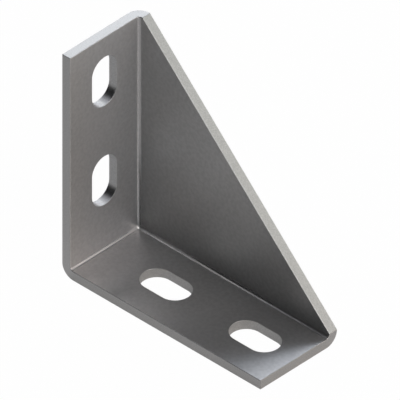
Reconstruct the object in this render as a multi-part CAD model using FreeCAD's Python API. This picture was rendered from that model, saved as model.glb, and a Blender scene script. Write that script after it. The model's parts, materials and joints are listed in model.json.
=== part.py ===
import FreeCAD, Part
import os
from FreeCAD import Vector

# Reinforced angle bracket, pressed from one blank of sheet steel: a base leg, an upright leg
# and a triangular gusset that closes one side and ties the two legs together.
# Millimetres. The base leg lies on Z = 0 and runs along X, the upright leg stands at the low X end
# with its back facing -X, and the gusset is the wall on the +Y side.
# The origin is the middle of the bounding box in X and Y, on the underside of the base.

# Driving dimensions, outside to outside
base_length = 100.0        # heel to the end of the base leg
upright_height = 100.0     # heel to the top of the upright leg
width = 40.0               # outer face of the gusset to the free edges of the legs
thickness = 4.0            # sheet, the same in all three walls
inside_radius = 1.5        # inside of the three bends and of the corner where they meet
slot_width = 13.0          # clears a 12 mm bolt
slot_travel = 9.0          # how far a bolt can shift in its slot, along the leg
slot_pitch = 45.0          # from one slot's centre to the next along a leg
end_margin = 9.0           # sheet left between the outer slot and the end of the leg
bend_clearance = 6.0       # least flat sheet left between a slot and the bend at the heel
edge_radius = 0.25         # rounding of the sheared outline
mouth_bevel = 0.2          # deburred mouths of the slots

# Worked out from them
outside_radius = inside_radius + thickness
slot_length = slot_width + slot_travel   # end to end
slot_line = (width + thickness) / 2      # middle of the clear width, measured from the gusset's face
heel = Vector(-base_length / 2, width / 2, 0)

ALONG_BASE = Vector(1, 0, 0)
UP = Vector(0, 0, 1)
ACROSS = Vector(0, -1, 0)                # from the gusset to the free edges


def at(along, across, up):
    """A point measured from the heel: along the base, away from the gusset's face and up."""
    return heel + ALONG_BASE * along + ACROSS * across + UP * up


def lies_on(edge, point, direction):
    """True where a straight edge lies on the line through the point."""
    return all((v.Point - point).cross(direction).Length < 1e-6 for v in edge.Vertexes)


def faces_towards(face, direction):
    """True where a face is flat and its outward normal has that direction."""
    return isinstance(face.Surface, Part.Plane) and face.normalAt(0, 0).getAngle(direction) < 1e-6


def sharp_edges(shape):
    """The edges whose two faces meet at an angle, and not tangent to each other."""
    found = []
    for edge in shape.Edges:
        middle = edge.valueAt((edge.FirstParameter + edge.LastParameter) / 2)
        normals = [face.normalAt(*face.Surface.parameter(middle))
                   for face in shape.ancestorsOfType(edge, Part.Face)]
        if len(normals) == 2 and normals[0].getAngle(normals[1]) > 0.05:
            found.append(edge)
    return found


def outer_block():
    """The solid inside the outer faces, with its three bends and the corner between them rounded.

    Its side view is a square corner closed by a slope, which runs from bend tangent to bend tangent.
    """
    side_view = [
        at(0, 0, 0),
        at(base_length, 0, 0),
        at(base_length, 0, outside_radius),
        at(outside_radius, 0, upright_height),
        at(0, 0, upright_height),
    ]
    block = Part.Face(Part.makePolygon(side_view + side_view[:1])).extrude(ACROSS * width)
    bends = [edge for edge in block.Edges
             if any(lies_on(edge, heel, line) for line in (ALONG_BASE, UP, ACROSS))]
    return block.makeFillet(outside_radius, bends)


def folded_sheet():
    """The block hollowed to one sheet thickness, open at the slope, the leg ends and the free side."""
    block = outer_block()
    slope = ALONG_BASE * (upright_height - outside_radius) + UP * (base_length - outside_radius)
    openings = [face for face in block.Faces
                if any(faces_towards(face, out) for out in (ALONG_BASE, UP, ACROSS, slope))]
    return block.makeThickness(openings, -thickness, 1e-3)


def slot(centre, along, through):
    """The tool of one punched slot: a bar with round ends, one thickness past both faces."""
    start = centre - through * thickness
    half_straight = along * slot_travel / 2
    half_length = along * slot_length / 2
    half_width = through.cross(along) * slot_width / 2
    corners = [
        start + half_straight + half_width,
        start - half_straight + half_width,
        start - half_straight - half_width,
        start + half_straight - half_width,
    ]
    outline = Part.Wire([
        Part.LineSegment(corners[0], corners[1]).toShape(),
        Part.Arc(corners[1], start - half_length, corners[2]).toShape(),
        Part.LineSegment(corners[2], corners[3]).toShape(),
        Part.Arc(corners[3], start + half_length, corners[0]).toShape(),
    ])
    return Part.Face(outline).extrude(through * thickness * 3)


def slot_places(leg_length):
    """Distances from the heel of a leg's slots, from its end inwards, as many as clear the bend."""
    nearest = outside_radius + bend_clearance + slot_length / 2
    places = [leg_length - end_margin - slot_length / 2]
    while places[-1] - slot_pitch >= nearest:
        places.append(places[-1] - slot_pitch)
    return places


def slots():
    """The slots of both legs, all on the middle line of the clear width."""
    in_base = [slot(at(place, slot_line, 0), ALONG_BASE, UP) for place in slot_places(base_length)]
    in_upright = [slot(at(0, slot_line, place), UP, ALONG_BASE) for place in slot_places(upright_height)]
    return in_base + in_upright


def angle_bracket():
    """The folded sheet with its outline rounded, then its slots with their mouths deburred."""
    sheet = folded_sheet()
    sheet = sheet.makeFillet(edge_radius, sharp_edges(sheet)).Solids[0]
    sheet = sheet.cut(slots()).Solids[0]
    return sheet.makeChamfer(mouth_bevel, sharp_edges(sheet)).Solids[0]


os.makedirs("parts", exist_ok=True)
bracket = angle_bracket()
bracket.exportStep("parts/angle_bracket.step")
print("angle_bracket", "valid" if bracket.isValid() else "not valid", round(bracket.Volume, 1), "mm3")
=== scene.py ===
import json
import math

import bmesh
import bpy
import numpy as np
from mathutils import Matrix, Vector
from mathutils.geometry import delaunay_2d_cdt


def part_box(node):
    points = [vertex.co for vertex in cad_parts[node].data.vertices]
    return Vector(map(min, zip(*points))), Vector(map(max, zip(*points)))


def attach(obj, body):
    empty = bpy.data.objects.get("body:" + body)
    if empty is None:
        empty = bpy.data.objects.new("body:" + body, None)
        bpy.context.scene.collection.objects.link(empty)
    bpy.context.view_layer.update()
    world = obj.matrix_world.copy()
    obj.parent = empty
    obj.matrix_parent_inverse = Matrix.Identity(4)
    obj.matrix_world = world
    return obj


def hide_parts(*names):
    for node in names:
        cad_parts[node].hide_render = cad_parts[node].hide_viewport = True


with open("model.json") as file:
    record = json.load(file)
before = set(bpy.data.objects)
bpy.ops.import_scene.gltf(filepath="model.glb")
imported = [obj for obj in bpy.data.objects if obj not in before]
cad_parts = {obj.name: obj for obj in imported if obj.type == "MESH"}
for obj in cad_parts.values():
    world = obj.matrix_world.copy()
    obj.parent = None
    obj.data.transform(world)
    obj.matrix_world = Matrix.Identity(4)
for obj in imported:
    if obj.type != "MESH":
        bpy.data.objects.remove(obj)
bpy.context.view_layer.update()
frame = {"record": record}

# Reinforced angle bracket of one folded steel sheet. Metres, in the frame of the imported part:
# the base leg lies along X, the upright leg stands at the low X end, the gusset is the wall at high Y.

NODE = "angle_bracket"
SHEET = 0.004                       # thickness of the steel
INSIDE_RADIUS = 0.0015              # inside of every bend
OUTSIDE_RADIUS = INSIDE_RADIUS + SHEET
EDGE_RADIUS = 0.00025               # rounding of the sheared outline on the inner faces
OUTER_EDGE_RADIUS = 0.00005         # and on the outer faces, where the shear came out sharper
MOUTH_RADIUS = 0.0001               # rounding of the punched slots' mouths on the inner faces
OUTER_MOUTH_RADIUS = 0.00005        # and on the outer faces

LOW, HIGH = (np.array(corner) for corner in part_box(NODE))
HEEL = np.array([LOW[0], HIGH[1], LOW[2]])    # where the three outer faces would meet
LEG, WIDTH, HEIGHT = HIGH - LOW
MOUNTS = {mount["name"]: mount for mount in frame["record"]["mounts"]}

ALONG = np.array([1.0, 0.0, 0.0])   # along the base, away from the heel
ACROSS = np.array([0.0, -1.0, 0.0])     # from the gusset to the free sides
UP = np.array([0.0, 0.0, 1.0])

BEND_STEPS = 16                     # facets of a quarter turn in the bends
EDGE_STEPS = 4                      # and in the rounding of the sheared edges
SLOT_STEPS = 32                     # facets of a slot's round end
CELL = 0.005                        # size of the facets on the flat walls
FINE_CELL = 0.0005                  # and on the legs close to the corner
FINE_CELLS = 11                     # how many of those there are each way
WELD_DISTANCE = EDGE_RADIUS / 1000  # points of the mesh that are closer than this are one
SAME_POINT = 1e-9                   # and points of a flat wall before it is cut into triangles
INSIDE_ONLY = 1                     # what delaunay_2d_cdt takes to keep only the triangles in the outline


# Camera, at the photograph's viewing angle

AZIMUTH, ELEVATION = math.radians(44.0), math.radians(37.0)
IMAGE_SIDE = 400                    # pixels
PIXELS_PER_METRE = 2755.6
HEEL_PIXEL = (138.8, 226.6)         # where the heel's outer corner lies in the photograph, from the top left
CAMERA_DISTANCE = 1.0


def add_camera():
    """A parallel camera that puts the heel's outer corner on its pixel."""
    back = Vector((math.sin(AZIMUTH) * math.cos(ELEVATION),
                   -math.cos(AZIMUTH) * math.cos(ELEVATION),
                   math.sin(ELEVATION)))
    right = Vector((math.cos(AZIMUTH), math.sin(AZIMUTH), 0))
    up = back.cross(right)
    middle = IMAGE_SIDE / 2
    aim = (Vector(HEEL)
           + right * (middle - HEEL_PIXEL[0]) / PIXELS_PER_METRE
           + up * (HEEL_PIXEL[1] - middle) / PIXELS_PER_METRE)
    data = bpy.data.cameras.new("photo_camera")
    data.type = "ORTHO"
    data.ortho_scale = IMAGE_SIDE / PIXELS_PER_METRE
    camera = bpy.data.objects.new("photo_camera", data)
    camera.location = aim + back * CAMERA_DISTANCE
    camera.rotation_euler = back.to_track_quat("Z", "Y").to_euler()
    bpy.context.scene.collection.objects.link(camera)
    bpy.context.scene.camera = camera


add_camera()


# The folded sheet
#
# Its core is the box corner that the bends turn about: three planes, one outside radius in from the
# outer faces. Every point of the sheet is a core point plus a radius times the outward normal there,
# from INSIDE_RADIUS on the inner side to OUTSIDE_RADIUS on the outer side. Flat walls, bends and the
# round corner differ only in how the core point and the normal change from place to place.

CORE = HEEL + OUTSIDE_RADIUS * (ALONG + ACROSS + UP)
FLAT_LEG = LEG - OUTSIDE_RADIUS - EDGE_RADIUS          # length of the flat walls, inside the edge rounding
FLAT_HEIGHT = HEIGHT - OUTSIDE_RADIUS - EDGE_RADIUS
FLAT_WIDTH = WIDTH - OUTSIDE_RADIUS - EDGE_RADIUS


# Painted highlights, painted light and painted shade on the steel
#
# Each is a number at every point of the mesh, 0 where the steel is plain, and the material goes by them.
# Places are measured from the core's corner: along the base, across towards the free sides, and up. A part
# of the normal is its cosine with one of those three directions.

PRESS_POWER = 8                     # how narrow the painted highlight line in the bends is
DOT_POWER = 24                      # and the painted highlight dot in the corner
DOT_FACING = np.array([0.67, 0.28, 0.69])   # the parts of the normal in the dot's middle
DOT_POLISH = 0.4                    # how polished the dot is

STREAK = 0.6                        # how bright the painted highlight streaks are that run out from the corner on the legs
STREAK_OFFSET = 0.0007              # how far they lie off the corner's diagonal
STREAK_WIDTH = 0.0008
STREAK_REACH = 0.003

PAINTED_LIGHT_REACH = 0.025                # how far from the heel the painted light on the legs reaches
BEND_PAINTED_LIGHT = 3.5                   # how much more painted light the gusset's bends get
SHEARED_PAINTED_LIGHT = 0.5                # how much painted light the sheared ends and the low part of the sheared sides get
SIDE_REACH = 0.03                   # how far up from the base that low part goes
SIDE_SHADE = 0.1                     # and how much painted shade the sides get above it

BAND_PLACE, BAND_WIDTH = 0.036, 0.012       # the band of painted light on the base, by its free side
SPOT, SPOT_PLACE, SPOT_WIDTH = 0.7, 0.0105, 0.004   # how strong the narrow one by the heel is, and where
SHADE_BAND, SHADE_BAND_PLACE, SHADE_BAND_WIDTH = 0.9, 0.0205, 0.0045   # and the band of painted shade between the two

GUSSET_SHADE = 0.1                   # how much painted shade the whole gusset gets
LOW_SHADE, LOW_REACH = 0.34, 0.014   # how much more painted shade near the base, and how far up from it
OUT_SHADE, OUT_REACH = 0.2, 0.035    # how much more painted shade near the corner, and how far out from it
CORNER_SHADOW, CORNER_REACH = 0.5, 0.0025     # and the painted shadow right in the corner

SHADY = 0.4                         # how much painted shade the outer part of the base gets
SHADY_START, SHADY_FULL = 0.05, 0.08        # where along the base that starts and where it is full
SHADY_SLANT = 0.63                  # it ends at a slanting line: so much less along for each metre across
SHADY_EDGE = 0.006                  # and how wide the ramp down to that line is

FADE_START = 0.055                  # how far along the base its bend starts to get painted shade and lose its polish
RIM_SHADE, RIM_WIDTH = 2.0, 0.0001   # how much painted shade the rounded rim at that bend's end gets, and how wide it is


def ramp(distance, start, end):
    """0 up to the start, rising evenly to 1 at the end and beyond it. The end may be the lower one."""
    return ((distance - start) / (end - start)).clip(0, 1)


def bell(distance, place, width):
    """A bell curve: e to the power of minus the square of the distance from its place in widths."""
    return np.exp(-((distance - place) / width) ** 2)


def fall(distance, reach):
    """1 up to a distance of 0, and e to the power of minus the distance in reaches beyond it."""
    return np.exp(-distance.clip(0) / reach)


def polished(normals):
    """How far a normal has turned from the flat walls': 0 on them, 1 halfway round a bend.

    It is the fourth root of twice what the fourth powers of the normal's parts lack to make 1.
    """
    return (2 * (1 - (normals ** 4).sum(-1))).clip(0, 1) ** 0.25


def burnished(normals):
    """The painted highlight inside the heel's bend, a narrow line halfway round, and a dot in the corner.

    The line is a high power of twice the product of the normal's parts along and up, which is 1 halfway
    round the bend. The dot is a high power of the cosine between the normal and the one in the dot's middle.
    """
    parts = np.abs(normals)
    line = 2 * parts[..., 0] * parts[..., 2]
    dot = parts @ DOT_FACING / np.linalg.norm(DOT_FACING)
    return np.maximum(line ** PRESS_POWER, dot ** DOT_POWER)


def add_painted_light_and_shade(marks, place, normals):
    """Adds the marks that go by the place, from the places and the normals of all the points.

    The warm painted light: the sheared mark, or the square of the share of the width where that is more,
    times the part of the normal along the base, so the faces that look along the base are painted warmer.

    The painted light: a fall from the heel times what the part across lacks to make 1, and in the gusset's
    bends BEND_PAINTED_LIGHT times the part across times a sum: the fourth power of the part along, and that
    of the part up times the same fall. On the sheared edges it is SHEARED_PAINTED_LIGHT times the fourth
    power of the part along, or times a ramp down to 0 at SIDE_REACH on the sides.

    The band of painted light: on the base's inner face, two bells along it times the cube of the share of the
    width.

    The painted shade: on the gusset, a level all over it, a fall upwards from the base, and two falls
    outwards from the corner, by the sum of how far along and up a point is, the narrow one being a painted
    shadow in the corner. In the base's bend it is a ramp along it times the root of twice the product of the
    parts across and up. To that are added the rim at this bend's end, the sheared sides above SIDE_REACH, the
    band of painted shade between the bands of painted light, a bell made as theirs are, and the painted shade
    on the outer part of the base, a ramp along it that a second ramp brings down at the slanting line.

    polished: the bend's painted shade takes its polish.

    The painted highlight: the two streaks on the legs are added, each a bell about a line at 45 degrees from
    the corner times a fall outwards.
    """
    sheared = marks["sheared"]
    plain = 1 - sheared
    along, across, up = (place @ way for way in (ALONG, ACROSS, UP))
    towards_along, towards_across, towards_up = (
        (normals @ way).clip(0, 1) for way in (ALONG, ACROSS, UP))
    facing_along, facing_across, facing_up = (np.abs(normals @ way) for way in (ALONG, ACROSS, UP))
    share = ramp(across, 0, FLAT_WIDTH)

    # warm painted light on the faces that look along the base
    marks["warm_painted_light"] = np.maximum(sheared, share ** 2) * towards_along

    # painted light: brighter near the heel, in the gusset's bends, on the sheared ends and low on the sheared
    # sides
    near_heel = fall(np.maximum(along, up), PAINTED_LIGHT_REACH)
    on_legs = near_heel * (1 - facing_across) + BEND_PAINTED_LIGHT * facing_across * (
        facing_along ** 4 + near_heel * facing_up ** 4)
    side = sheared * towards_across
    low = ramp(up, SIDE_REACH, 0)
    end = sheared * towards_along ** 4
    marks["painted_light"] = on_legs * plain + SHEARED_PAINTED_LIGHT * np.maximum(end, side * low)

    on_base = towards_up ** 4 * plain
    to_free_side = on_base * share ** 3
    # a band and a spot of painted light on the base, by its free side
    marks["painted_light_band"] = to_free_side * (bell(along, BAND_PLACE, BAND_WIDTH)
                                    + SPOT * bell(along, SPOT_PLACE, SPOT_WIDTH))

    # painted shade: over the gusset, more near the base and the corner, a painted shadow in the corner, in
    # the base's bend and at its rim, high on the sheared sides, in a band and on the outer part of the base
    out = along + up
    on_gusset = facing_across * plain * (
        GUSSET_SHADE + LOW_SHADE * fall(up, LOW_REACH) + OUT_SHADE * fall(out, OUT_REACH)
        + CORNER_SHADOW * fall(out, CORNER_REACH))
    in_base_bend = np.sqrt(2 * facing_across * facing_up).clip(0, 1) * plain * ramp(
        along, FADE_START, FLAT_LEG)
    rim = (along > FLAT_LEG - RIM_WIDTH) * (up < 0) * (towards_up > 0) * facing_along * (1 - facing_along)
    band_shade = to_free_side * bell(along, SHADE_BAND_PLACE, SHADE_BAND_WIDTH)
    shady = on_base * ramp(along, SHADY_START, SHADY_FULL) * ramp(
        along + SHADY_SLANT * across, FLAT_LEG, FLAT_LEG - SHADY_EDGE)
    marks["painted_shade"] = (np.maximum(on_gusset, in_base_bend) + RIM_SHADE * rim
                     + SIDE_SHADE * side * (1 - low) + SHADE_BAND * band_shade + SHADY * shady)

    marks["polished"] = marks["polished"] * (1 - in_base_bend)

    # painted highlight streaks beside the corner, added to the painted highlight mark
    from_bend = np.maximum(along, up)
    streak = (1 - facing_across) * (normals @ (ALONG + UP)).clip(0, 1) * fall(
        from_bend, STREAK_REACH) * bell(across - from_bend, STREAK_OFFSET, STREAK_WIDTH)
    marks["burnished"] = np.maximum(marks["burnished"], STREAK * streak)


# The skin of the sheet

def steps(start, end, size):
    """Evenly spaced values from start to end, about one size apart, as a column."""
    return np.linspace(start, end, max(2, round(abs(end - start) / size) + 1))[:, None]


def turn(first, last, count):
    """Unit vectors that turn evenly from one direction to another: their spherical interpolation."""
    angle = math.acos(np.clip(np.dot(first, last), -1, 1))
    t = np.linspace(0, 1, count + 1)[:, None]
    return (np.sin((1 - t) * angle) * first + np.sin(t * angle) * last) / math.sin(angle)


class Skin:
    """Patches of surface, each with its points, outward normals and faces, that are welded into one mesh.

    Every point also carries the marks that belong to its patch, 0 where none is given.
    """

    def __init__(self):
        self.points, self.normals, self.faces, self.count = [], [], [], 0
        self.marks = {"sheared": [], "polished": [], "burnished": []}

    def add(self, points, normals, faces, **marks):
        """A patch of points with one normal for them all or one for each, and its faces and marks."""
        points = points.reshape(-1, 3)
        normals = np.broadcast_to(normals, points.shape) if normals.ndim == 1 else normals.reshape(-1, 3)
        self.points.append(points)
        self.normals.append(normals)
        for name, values in self.marks.items():
            values.append(np.broadcast_to(np.ravel(marks.get(name, 0.0)), len(points)))
        self.faces.extend((faces + self.count).tolist())
        self.count += len(points)

    def add_grid(self, points, normals, closed=False, **marks):
        """A patch on a grid of rows and columns. A closed one joins its last row to its first."""
        rows, columns = points.shape[:2]
        row = np.arange(rows if closed else rows - 1)[:, None]
        column = np.arange(columns - 1)[None, :]
        here, below = row * columns + column, (row + 1) % rows * columns + column
        faces = np.stack([here, here + 1, below + 1, below], -1).reshape(-1, 4)
        self.add(points, normals, faces, **marks)


def polygon(corners):
    """A closed outline with straight sides between its corners, in steps of about one cell."""
    return np.concatenate([
        start + (steps(0, 1, CELL / np.linalg.norm(end - start)) * (end - start))[:-1]
        for start, end in zip(corners, np.roll(corners, -1, axis=0))])


def lattice(length, breadth):
    """Points one cell apart over a rectangle, each row shifted by half a cell, clear of the sides."""
    a, b = np.meshgrid(steps(0, length, CELL)[1:-1, 0], steps(0, breadth, CELL)[1:-1, 0], indexing="ij")
    shift = (np.arange(b.shape[1]) % 2 - 0.5) * CELL / 2
    return np.stack([a + shift, b], -1).reshape(-1, 2)


def fine_lattice():
    """Points of a fine square grid at the corner of a leg, where the press marks need small facets."""
    side = FINE_CELL * np.arange(1, FINE_CELLS + 1)
    return np.stack(np.meshgrid(side, side, indexing="ij"), -1).reshape(-1, 2)


def add_wall(skin, u, v, normal, outline, inner, holes=()):
    """The two faces of a flat wall: core point + a times u + b times v + radius times the normal.

    The places (a, b) are those of the outline, the holes and the inner points, joined in triangles. Those
    whose corners all lie on one hole are left out.
    """
    loops = [outline, *holes]
    edges, start = [], 0
    for loop in loops:
        index = np.arange(len(loop))
        edges.append(start + np.stack([index, (index + 1) % len(loop)], 1))
        start += len(loop)
    flat = np.concatenate([*loops, inner])
    hole = np.repeat([-1, *range(len(holes)), -1], [len(part) for part in (*loops, inner)])
    made = delaunay_2d_cdt([Vector(point) for point in flat], np.concatenate(edges).tolist(), [],
                           INSIDE_ONLY, SAME_POINT)
    faces = np.array([ids[0] for ids in made[3]])[np.array(made[2])]
    in_hole = (hole[faces] == hole[faces[:, :1]]).all(1) & (hole[faces[:, 0]] >= 0)
    wall = CORE + flat[:, :1] * u + flat[:, 1:] * v
    skin.add(wall + OUTSIDE_RADIUS * normal, normal, faces[~in_hole])
    skin.add(wall + INSIDE_RADIUS * normal, -normal, faces[~in_hole])


def add_bend(skin, along, length, first, last):
    """A bend: core point + along times a + radius times a normal that turns from one wall's to the next's.

    It is polished, but for the painted highlight line on its inner side.
    """
    normals = turn(first, last, BEND_STEPS)[:, None, :]
    line = (CORE + steps(0, length, CELL) * along)[None, :, :]
    normals = np.broadcast_to(normals, (BEND_STEPS + 1, line.shape[1], 3))
    skin.add_grid(line + OUTSIDE_RADIUS * normals, normals, polished=polished(normals))
    skin.add_grid(line + INSIDE_RADIUS * normals, -normals,
                  polished=polished(normals) * (1 - burnished(normals)), burnished=burnished(normals))


def add_corner(skin):
    """The round corner: the core corner + radius times a normal over an eighth of a sphere.

    With i + j + k = n, the normal has the direction (sin ti, sin tj, sin tk), t being a quarter turn over n,
    so each side of the patch has the same even angles as the bend that it joins. On the inner side it
    carries the painted highlight dot, and is polished only in that dot.
    """
    n = BEND_STEPS
    i, j = (index.ravel() for index in np.meshgrid(np.arange(n + 1), np.arange(n + 1), indexing="ij"))
    inside = i + j <= n
    i, j = i[inside], j[inside]
    parts = np.sin(np.pi / 2 / n * np.stack([i, j, n - i - j], 1))
    normals = -parts @ np.array([ALONG, ACROSS, UP])
    normals /= np.linalg.norm(normals, axis=1, keepdims=True)
    place = np.full((n + 2, n + 2), -1)
    place[i, j] = np.arange(len(i))
    lower = np.stack([place[i, j], place[i + 1, j], place[i, j + 1]], 1)[i + j < n]
    upper = np.stack([place[i + 1, j], place[i + 1, j + 1], place[i, j + 1]], 1)[i + j < n - 1]
    faces = np.concatenate([lower, upper])
    skin.add(CORE + OUTSIDE_RADIUS * normals, normals, faces, polished=polished(normals))
    skin.add(CORE + INSIDE_RADIUS * normals, -normals, faces,
             polished=DOT_POLISH * burnished(normals), burnished=burnished(normals))


def edge_profile(inner, outer):
    """The section of a sheared edge, as radius, reach past the flat wall, and the normal's two parts.

    A quarter circle from the inner face, the straight cut, a quarter circle to the outer face, and what is
    left of that face up to the flat wall. The two roundings are given, the inner one being the greater.
    """
    t = np.linspace(0, np.pi / 2, EDGE_STEPS + 1)
    s, c = np.sin(t), np.cos(t)
    radius = np.concatenate([INSIDE_RADIUS + inner * (1 - c), OUTSIDE_RADIUS - outer * (1 - s),
                             [OUTSIDE_RADIUS]])
    reach = np.concatenate([inner * s, inner - outer * (1 - c), [0]])
    return radius, reach, np.concatenate([-c, s, [1]]), np.concatenate([s, c, [0]])


def add_edge(skin, core, outward, normal, roundings, polish=0.0):
    """A sheared edge: its section carried round a closed path of core points.

    Each point is core + radius times the wall's normal + reach times the direction out of the wall. The
    sheared mark is the part of the normal that points out of the wall. The roundings are polished by the
    given share of twice the product of the normal's two parts, which is 1 halfway round them.
    """
    radius, reach, facing_normal, facing_outward = (
        part[None, :, None] for part in edge_profile(*roundings))
    core, outward, normal = core[:, None, :], outward[:, None, :], normal[:, None, :]
    whole = (core.shape[0], radius.shape[1])
    rounded = polish * np.abs(2 * facing_normal * facing_outward)[..., 0]
    skin.add_grid(core + radius * normal + reach * outward,
                  facing_normal * normal + facing_outward * outward, closed=True,
                  sheared=np.broadcast_to(facing_outward[..., 0], whole),
                  polished=np.broadcast_to(rounded, whole))


def outer_path():
    """The path of the outer edge, all round the folded sheet.

    It is given as core points, directions out of the wall there and the wall's normals.
    """
    pieces = []

    def lay(core, outward, normal):
        """One stretch of the path, without its last point, where the next stretch starts."""
        rows = max(np.atleast_2d(part).shape[0] for part in (core, outward, normal))
        pieces.append([np.broadcast_to(part, (rows, 3))[:-1] for part in (core, outward, normal)])

    base_tip = CORE + FLAT_LEG * ALONG
    top = CORE + FLAT_HEIGHT * UP
    free = FLAT_WIDTH * ACROSS
    to_slope = FLAT_HEIGHT * ALONG + FLAT_LEG * UP
    to_slope /= np.linalg.norm(to_slope)
    lay(base_tip + steps(FLAT_WIDTH, 0, CELL) * ACROSS, ALONG, -UP)
    lay(base_tip, ALONG, turn(-UP, -ACROSS, BEND_STEPS))
    lay(base_tip, turn(ALONG, to_slope, EDGE_STEPS), -ACROSS)
    slope = top - base_tip
    lay(base_tip + steps(0, 1, CELL / np.linalg.norm(slope)) * slope, to_slope, -ACROSS)
    lay(top, turn(to_slope, UP, EDGE_STEPS), -ACROSS)
    lay(top, UP, turn(-ACROSS, -ALONG, BEND_STEPS))
    lay(top + steps(0, FLAT_WIDTH, CELL) * ACROSS, UP, -ALONG)
    lay(top + free, turn(UP, ACROSS, EDGE_STEPS), -ALONG)
    lay(CORE + free + steps(FLAT_HEIGHT, 0, CELL) * UP, ACROSS, -ALONG)
    lay(CORE + free, ACROSS, turn(-ALONG, -UP, BEND_STEPS))
    lay(CORE + free + steps(0, FLAT_LEG, CELL) * ALONG, ACROSS, -UP)
    lay(base_tip + free, turn(ACROSS, ALONG, EDGE_STEPS), -UP)
    return [np.concatenate(part) for part in zip(*pieces)]


def slot_loop(place, line, radius, straight):
    """A slot's outline, just outside the rounding of its mouth, and the directions into the slot.

    It is two half circles about the ends of the slot's straight middle line, joined by straight sides. All
    of it is in the wall's plane: how far along the leg, and how far across.
    """
    t = np.linspace(-np.pi / 2, np.pi / 2, SLOT_STEPS + 1)
    end = np.stack([np.cos(t), np.sin(t)], 1)
    directions = np.concatenate([end, -end])
    half = straight / 2
    middles = np.array([place, line]) + np.repeat([[half, 0], [-half, 0]], len(end), axis=0)
    return middles + directions * (radius + MOUTH_RADIUS), -directions


def add_leg(skin, along, length, normal, mount, key):
    """A leg's flat wall and the edges of its slots, which lie where the leg's mount says.

    The key names the mount's size that holds the spacing of the slots.
    """
    dims = mount["dims"]
    offset = np.array(mount["pos_m"]) - CORE
    spacing, radius = dims[key] / 1000, dims["hole_r_mm"] / 1000
    straight = dims["slot_length_mm"] / 1000 - 2 * radius
    places = offset @ along + spacing * (np.arange(dims["count"]) - (dims["count"] - 1) / 2)
    slots = [slot_loop(place, offset @ ACROSS, radius, straight) for place in places]
    inner = lattice(length, FLAT_WIDTH)
    inner = np.concatenate([inner[inner.max(1) > FINE_CELL * (FINE_CELLS + 1)], fine_lattice()])
    for place in places:
        nearest = np.clip(inner[:, 0], place - straight / 2, place + straight / 2)
        clear = np.hypot(inner[:, 0] - nearest, inner[:, 1] - offset @ ACROSS) > radius + CELL / 2
        inner = inner[clear]
    outline = polygon(np.array([[0, 0], [length, 0], [length, FLAT_WIDTH], [0, FLAT_WIDTH]]))
    add_wall(skin, along, ACROSS, normal, outline, inner, [loop for loop, _ in slots])
    for loop, inward in slots:
        add_edge(skin, CORE + loop[:, :1] * along + loop[:, 1:] * ACROSS,
                 inward[:, :1] * along + inward[:, 1:] * ACROSS, normal[None, :],
                 (MOUTH_RADIUS, OUTER_MOUTH_RADIUS))


def add_gusset(skin):
    """The gusset's flat wall, a right triangle between the two bends and the slope."""
    inner = lattice(FLAT_LEG, FLAT_HEIGHT)
    below_slope = inner @ [1 / FLAT_LEG, 1 / FLAT_HEIGHT] < 1 - CELL / FLAT_LEG
    outline = polygon(np.array([[0, 0], [FLAT_LEG, 0], [0, FLAT_HEIGHT]]))
    add_wall(skin, ALONG, UP, -ACROSS, outline, inner[below_slope])


def bracket_mesh():
    """The whole bracket as one closed skin, with exact normals and all its marks."""
    skin = Skin()
    add_leg(skin, ALONG, FLAT_LEG, -UP, MOUNTS["base_slots"], "spacing_x_mm")
    add_leg(skin, UP, FLAT_HEIGHT, -ALONG, MOUNTS["upright_slots"], "spacing_y_mm")
    add_gusset(skin)
    add_bend(skin, ACROSS, FLAT_WIDTH, -ALONG, -UP)
    add_bend(skin, ALONG, FLAT_LEG, -UP, -ACROSS)
    add_bend(skin, UP, FLAT_HEIGHT, -ACROSS, -ALONG)
    add_corner(skin)
    core, outward, normal = outer_path()
    on_free_sides = (outward @ ACROSS).clip(0, 1)[:, None]
    add_edge(skin, core, outward, normal, (EDGE_RADIUS, OUTER_EDGE_RADIUS), polish=on_free_sides)

    points, normals = np.concatenate(skin.points), np.concatenate(skin.normals)
    marks = {name: np.concatenate(values) for name, values in skin.marks.items()}
    add_painted_light_and_shade(marks, points - CORE, normals)

    mesh = bpy.data.meshes.new("bracket")
    mesh.from_pydata(points, [], skin.faces)
    facing = mesh.attributes.new("facing", "FLOAT_VECTOR", "POINT")
    facing.data.foreach_set("vector", normals.astype(np.float32).ravel())
    for name, values in marks.items():
        layer = mesh.attributes.new(name, "FLOAT", "POINT")
        layer.data.foreach_set("value", values.astype(np.float32))
    weld(mesh)
    return mesh


def weld(mesh):
    """Joins the patches at their shared points and turns every face to the side that its normals say."""
    work = bmesh.new()
    work.from_mesh(mesh)
    bmesh.ops.remove_doubles(work, verts=work.verts, dist=WELD_DISTANCE)
    layer = work.verts.layers.float_vector["facing"]
    bmesh.ops.reverse_faces(work, faces=[
        face for face in work.faces
        if face.normal.dot(sum((vert[layer] for vert in face.verts), Vector())) < 0])
    for face in work.faces:
        face.smooth = True
    work.to_mesh(mesh)
    work.free()
    normals = np.zeros(len(mesh.vertices) * 3, np.float32)
    mesh.attributes["facing"].data.foreach_get("vector", normals)
    mesh.normals_split_custom_set_from_vertices(normals.reshape(-1, 3))
    mesh.attributes.remove(mesh.attributes["facing"])


# Materials

def add_node(tree, kind, settings=None, **inputs):
    """A shader node. Its settings are given by name, and its inputs as a value or as the socket to link."""
    node = tree.nodes.new(kind)
    for name, value in (settings or {}).items():
        setattr(node, name, value)
    for name, value in inputs.items():
        socket = node.inputs[int(name[1:])] if name[1:].isdigit() else node.inputs[name.replace("_", " ")]
        if isinstance(value, bpy.types.NodeSocket):
            tree.links.new(value, socket)
        else:
            socket.default_value = value
    return node


def noise(tree, place, scale, detail):
    """Soft noise between 0 and 1, its scale in features per metre."""
    return add_node(tree, "ShaderNodeTexNoise", Vector=place, Scale=scale, Detail=detail).outputs["Fac"]


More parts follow.
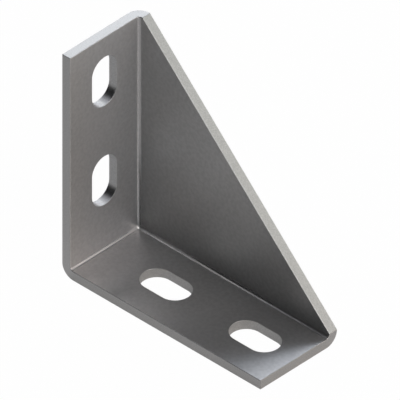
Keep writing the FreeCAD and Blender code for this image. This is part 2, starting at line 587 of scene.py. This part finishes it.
def spread(tree, value, low, high, start=0.35, end=0.65):
    """The value stretched so that start to end becomes low to high, and held there beyond them."""
    return add_node(tree, "ShaderNodeMapRange", i0=value, i1=start, i2=end, i3=low, i4=high).outputs["Result"]


def blend(tree, share, first, second, way="MIX"):
    """A colour or a number between two others, or a colour multiplied by another for that share.

    A share of more than 1 counts as 1.
    """
    is_colour = isinstance(first, tuple) or getattr(first, "type", "") == "RGBA"
    node = tree.nodes.new("ShaderNodeMix")
    node.data_type = "RGBA" if is_colour else "FLOAT"
    node.blend_type = way
    sockets = [socket for socket in node.inputs if socket.enabled]
    for socket, value in zip(sockets, (share, first, second)):
        if isinstance(value, bpy.types.NodeSocket):
            tree.links.new(value, socket)
        else:
            socket.default_value = value
    return next(socket for socket in node.outputs if socket.enabled)


def mark(tree, name):
    """One of the marks that the mesh carries at its points."""
    return add_node(tree, "ShaderNodeAttribute", {"attribute_name": name}).outputs["Fac"]


def grey(level):
    """A plain grey as a colour."""
    return level, level, level, 1


# The noises: features per metre, and detail
CLOUDS, MOTTLE, GRAIN, TORN = (40.0, 3.0), (700.0, 2.0), (1500.0, 2.0), (2600.0, 2.0)
BUMP_STRENGTH, BUMP_DISTANCE = 0.03, 0.00002

# Colours of the steel, and what the mottle, the painted light and the painted shade multiply them by
ROLLED = (0.532, 0.53, 0.528, 1), (0.528, 0.53, 0.532, 1)
MOTTLE_TINT = grey(0.90)
SHEARED = grey(0.44), grey(0.56)
# tint of the painted light
PAINTED_LIGHT_TINT = (1.15, 1.13, 1.13, 1)
# tint of the band of painted light
LIGHT_BAND_TINT = grey(1.40)
# tint of the painted shade
SHADE_TINT = grey(0.50)
# tint of the warm painted light
WARM_TINT = (1.03, 1.005, 0.97, 1)
# colour of the painted highlights: the line in the heel's bend, the dot in the corner and the streaks beside
# it
HIGHLIGHT_COLOUR = (0.98, 0.94, 0.91, 1)

# Roughness, that of the rolled faces from the smoothest to the roughest
ROLLED_ROUGHNESS = 0.42, 0.48
SHEARED_ROUGHNESS = 0.36
HIGHLIGHT_ROUGHNESS = 0.50
POLISHED_ROUGHNESS = 0.20

ROLLED_METALLIC, SHEARED_METALLIC = 0.80, 1.0     # the rolled faces keep a trace of scale and oil


def steel():
    """Satin rolled steel with a cloudy tint, a fine mottle in colour and roughness, and a slight bump.

    Sheared faces are cleaner, with a finer grain in their colour. Painted light makes places brighter,
    painted shade darker and warm painted light yellower. Polished places are smoother, and painted highlights
    bright.
    """
    material = bpy.data.materials.new("satin_steel")
    material.use_nodes = True
    tree = material.node_tree
    shader = tree.nodes["Principled BSDF"]
    place = add_node(tree, "ShaderNodeTexCoord").outputs["Object"]
    sheared, polished, burnished, warm_painted_light, painted_light, painted_shade, painted_light_band = (
        mark(tree, name) for name in ("sheared", "polished", "burnished", "warm_painted_light", "painted_light", "painted_shade", "painted_light_band"))

    clouds = spread(tree, noise(tree, place, *CLOUDS), 0.0, 1.0)
    mottle = noise(tree, place, *MOTTLE)
    torn = spread(tree, noise(tree, place, *TORN), 0.0, 1.0)
    grain = noise(tree, place, *GRAIN)

    colour = blend(tree, clouds, *ROLLED)
    colour = blend(tree, spread(tree, mottle, 0.0, 1.0), colour, MOTTLE_TINT, "MULTIPLY")
    colour = blend(tree, sheared, colour, blend(tree, torn, *SHEARED))
    # painted light, a band of painted light, painted shade and warm painted light, multiplied into the colour
    for share, tint in ((painted_light, PAINTED_LIGHT_TINT), (painted_light_band, LIGHT_BAND_TINT), (painted_shade, SHADE_TINT), (warm_painted_light, WARM_TINT)):
        colour = blend(tree, share, colour, tint, "MULTIPLY")
    # the painted highlights
    colour = blend(tree, burnished, colour, HIGHLIGHT_COLOUR)

    roughness = blend(tree, sheared, spread(tree, mottle, *ROLLED_ROUGHNESS), SHEARED_ROUGHNESS)
    roughness = blend(tree, burnished, roughness, HIGHLIGHT_ROUGHNESS)
    roughness = blend(tree, polished, roughness, POLISHED_ROUGHNESS)

    tree.links.new(blend(tree, sheared, ROLLED_METALLIC, SHEARED_METALLIC), shader.inputs["Metallic"])
    tree.links.new(colour, shader.inputs["Base Color"])
    tree.links.new(roughness, shader.inputs["Roughness"])
    bump = add_node(tree, "ShaderNodeBump", Strength=BUMP_STRENGTH, Distance=BUMP_DISTANCE, Height=grain)
    tree.links.new(bump.outputs[0], shader.inputs["Normal"])
    return material


def add_bracket():
    """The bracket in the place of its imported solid."""
    mesh = bracket_mesh()
    mesh.materials.append(steel())
    bracket = bpy.data.objects.new("bracket", mesh)
    bpy.context.scene.collection.objects.link(bracket)
    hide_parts(NODE)
    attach(bracket, "root")


add_bracket()


# Studio

def white_for(tree, camera_share, reflection_share):
    """How much of plain white a ray sees: one share for the camera, another for reflections and glass."""
    path = add_node(tree, "ShaderNodeLightPath")
    camera = add_node(tree, "ShaderNodeMath", {"operation": "MULTIPLY"},
                      i0=path.outputs["Is Camera Ray"], i1=camera_share).outputs[0]
    bent = add_node(tree, "ShaderNodeMath", {"operation": "MAXIMUM"},
                    i0=path.outputs["Is Glossy Ray"], i1=path.outputs["Is Transmission Ray"]).outputs[0]
    return add_node(tree, "ShaderNodeMath", {"operation": "MULTIPLY_ADD"},
                    i0=bent, i1=reflection_share, i2=camera).outputs[0]


FLOOR_GAP = 0.00005                 # keeps the floor clear of the base's underside
FLOOR_REACH = 3.0                   # from the middle to each side
FLOOR_COLOUR = (0.51, 0.50, 0.49, 1)
FLOOR_ROUGHNESS = 0.9
FLOOR_WHITE = 0.99, 0.27            # share of white that the camera sees, and reflections
DOME_COLOUR = (0.005, 0.005, 0.005, 1)
DOME_WHITE = 1.0, 0.0


def add_floor():
    """A pale floor that the camera sees as white, with a trace of the bracket's shadow."""
    mesh = bpy.data.meshes.new("floor")
    level = LOW[2] - FLOOR_GAP
    corners = [(x * FLOOR_REACH, y * FLOOR_REACH, level) for x, y in ((-1, -1), (1, -1), (1, 1), (-1, 1))]
    mesh.from_pydata(corners, [], [(0, 1, 2, 3)])
    material = bpy.data.materials.new("floor")
    material.use_nodes = True
    tree = material.node_tree
    shader = tree.nodes["Principled BSDF"]
    shader.inputs["Base Color"].default_value = FLOOR_COLOUR
    shader.inputs["Roughness"].default_value = FLOOR_ROUGHNESS
    shader.inputs["Specular IOR Level"].default_value = 0.0
    white = add_node(tree, "ShaderNodeEmission", Color=(1, 1, 1, 1), Strength=1.0)
    mixed = add_node(tree, "ShaderNodeMixShader", i0=white_for(tree, *FLOOR_WHITE),
                     i1=shader.outputs[0], i2=white.outputs[0])
    tree.links.new(mixed.outputs[0], tree.nodes["Material Output"].inputs["Surface"])
    mesh.materials.append(material)
    floor = bpy.data.objects.new("floor", mesh)
    bpy.context.scene.collection.objects.link(floor)


SOFTBOX_DISTANCE = 1.6

# Softboxes round the bracket: azimuth from +X towards +Y and elevation in degrees, then width and height in
# metres, and the brightness of the cloth
SOFTBOXES = {
    "softbox_front_right_low": (-24, 22, 0.5, 0.6, (1.15, 1.4, 1.45)),
    "softbox_front_right": (-22, 50, 0.6, 0.7, (1.55, 1.65, 1.7)),
    "softbox_right": (-2, 28, 0.4, 1.9, (4.0, 3.7, 3.65)),
    "softbox_right_back": (12, 28, 0.4, 1.9, (1.85, 1.8, 1.8)),
    "softbox_right_low": (27, 18, 0.4, 0.8, (1.95, 1.5, 1.4)),
    "softbox_right_high": (27, 50, 0.4, 0.8, (1.0, 0.95, 0.9)),
    "softbox_behind_right_low": (41, 18, 0.4, 0.6, (0.5, 0.55, 0.45)),
    "softbox_behind_right": (41, 42, 0.4, 0.6, (1.4, 1.55, 1.55)),
    "softbox_behind": (112, 38, 0.6, 0.45, (5.4, 5.85, 6.75)),
    "softbox_behind_left_low": (133, 14, 0.6, 0.45, (1.75, 1.7, 1.7)),
    "softbox_behind_left": (133, 41, 0.6, 0.3, (2.75, 2.8, 2.8)),
    "softbox_far_left": (158, 48, 0.5, 0.5, (1.4, 1.45, 1.55)),
    "softbox_high_left": (-172, 58, 0.8, 0.6, (0.6, 0.6, 0.65)),
}


def add_softbox(name, azimuth, elevation, width, height, brightness):
    """A soft rectangular lamp that faces the middle. Its power is brightness times pi times its area."""
    azimuth, elevation = math.radians(azimuth), math.radians(elevation)
    away = Vector((math.cos(azimuth) * math.cos(elevation),
                   math.sin(azimuth) * math.cos(elevation),
                   math.sin(elevation)))
    data = bpy.data.lights.new(name, "AREA")
    data.shape, data.size, data.size_y = "RECTANGLE", width, height
    data.color = Vector(brightness) / max(brightness)
    data.energy = max(brightness) * math.pi * width * height
    softbox = bpy.data.objects.new(name, data)
    softbox.location = away * SOFTBOX_DISTANCE
    softbox.rotation_euler = away.to_track_quat("Z", "Y").to_euler()
    softbox.visible_camera = False
    bpy.context.scene.collection.objects.link(softbox)


def add_dome():
    """A dim grey room round the softboxes. The camera sees it as plain white."""
    world = bpy.data.worlds.new("studio")
    bpy.context.scene.world = world
    world.use_nodes = True
    tree = world.node_tree
    seen = blend(tree, white_for(tree, *DOME_WHITE), DOME_COLOUR, (1, 1, 1, 1))
    tree.links.new(seen, tree.nodes["Background"].inputs["Color"])
    tree.nodes["Background"].inputs["Strength"].default_value = 1.0


add_floor()
add_dome()
for name, values in SOFTBOXES.items():
    add_softbox(name, *values)

bpy.context.scene.view_settings.view_transform = "Standard"
